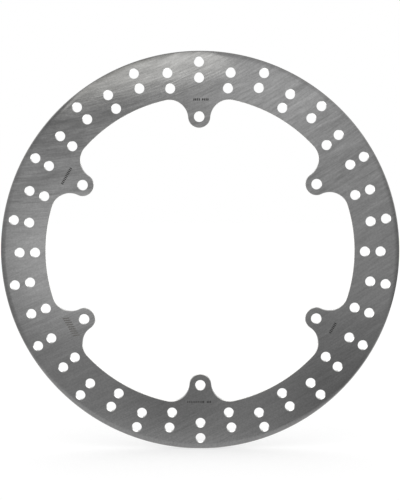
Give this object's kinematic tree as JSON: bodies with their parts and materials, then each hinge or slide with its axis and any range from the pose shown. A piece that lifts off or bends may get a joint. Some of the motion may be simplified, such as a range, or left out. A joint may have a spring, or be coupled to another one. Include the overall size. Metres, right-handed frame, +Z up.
{
  "type": "brake disc rotor",
  "caption": "Round one-piece motorcycle brake disc: flat drilled steel ring with inward bolt lugs.",
  "frame": {"origin": "centre of the disc, halfway through its thickness", "axes": "+Y along the wheel's axle, from the outer face towards the wheel's hub; +Z up through one bolt lug; +X to the right for someone who looks at the outer face along +Y"},
  "size_m": [0.32, 0.005, 0.32],
  "materials": {
    "ground_stainless_steel": "machine-ground satin stainless steel with fine arced grinding lines, faintly etched marks on the lugs"
  },
  "bodies": {
    "root": {"rotor_plate": "ground_stainless_steel"}
  },
  "joints": []
}
